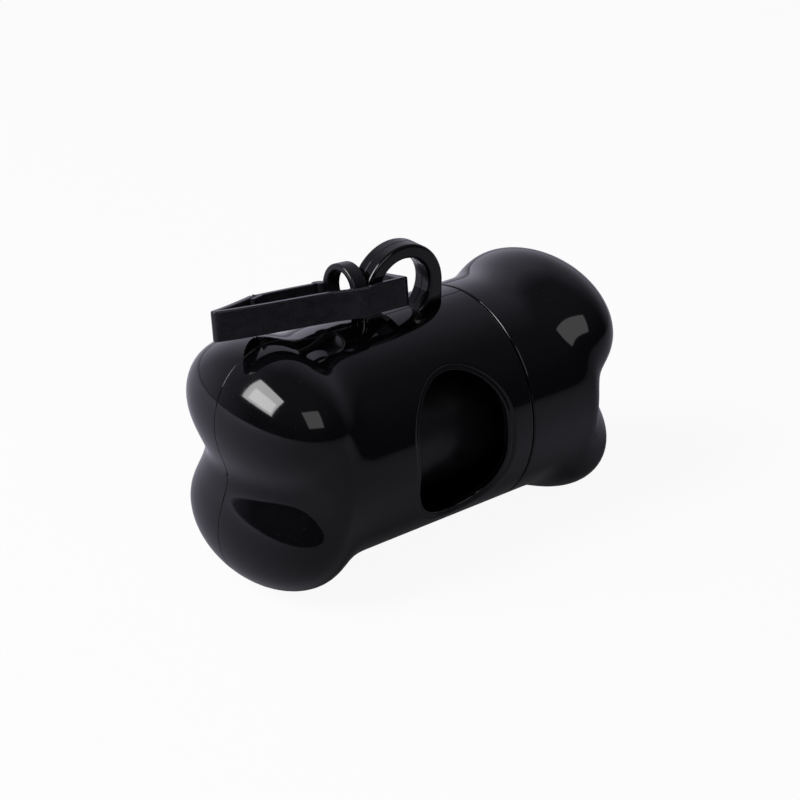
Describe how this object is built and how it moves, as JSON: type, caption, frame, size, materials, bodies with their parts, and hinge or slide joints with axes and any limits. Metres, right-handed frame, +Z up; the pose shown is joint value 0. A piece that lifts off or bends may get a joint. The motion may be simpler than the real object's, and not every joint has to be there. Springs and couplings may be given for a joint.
{
  "type": "waste bag dispenser",
  "caption": "Bone-shaped pet waste bag dispenser: hollow lobed body with an oval dispensing window, screw-on lobed cap, roll of bags, and a snap clip hung in an eye on top.",
  "frame": {"origin": "on the ground under the middle of the bone, centre of the bottom of the whole part", "axes": "+X along the bone towards the screw cap, +Y towards the back (the window faces -Y), +Z up"},
  "size_m": [0.0814, 0.04, 0.0558],
  "materials": {
    "shell_plastic": "polished",
    "clip_plastic": "semi-gloss",
    "core_board": "matt",
    "bag_film": "satin film"
  },
  "bodies": {
    "barrel": {"front_shell": "shell_plastic", "rear_shell": "shell_plastic", "neck_ring": "shell_plastic"},
    "cap_sleeve": {"cap_sleeve": "shell_plastic"},
    "cap": {"cap_shell": "shell_plastic"},
    "roll": {"bag_roll": "bag_film", "roll_core": "core_board"},
    "clip": {"clip_frame": "clip_plastic"},
    "gate": {"clip_gate": "clip_plastic"}
  },
  "joints": [
    {"name": "cap_travel", "type": "slide", "parent": "barrel", "child": "cap_sleeve", "axis": [1, 0, 0], "range_m": [0, 0.01]},
    {"name": "cap_turn", "type": "hinge", "parent": "cap_sleeve", "child": "cap", "pos_m": [0.018, 0, 0.02245], "axis": [1, 0, 0], "range_deg": [0, 720]},
    {"name": "roll_spin", "type": "hinge", "parent": "barrel", "child": "roll", "pos_m": [0, 0, 0.01985], "axis": [1, 0, 0], "continuous": true},
    {"name": "clip_swing", "type": "hinge", "parent": "barrel", "child": "clip", "pos_m": [-0.002, 0, 0.04795], "axis": [0, 1, 0], "range_deg": [0, 150]},
    {"name": "gate_flex", "type": "hinge", "parent": "clip", "child": "gate", "pos_m": [-0.01435, 0.00572, 0.0461], "axis": [0.0682, 0.2079, 0.9758], "range_deg": [0, 14], "stiffness_Nm_per_rad": 0.05, "springref_deg": -2.86}
  ],
  "couplings": [
    {"joint": "cap_travel", "follows": "cap_turn", "m_per_rad": 0.00079577}
  ]
}
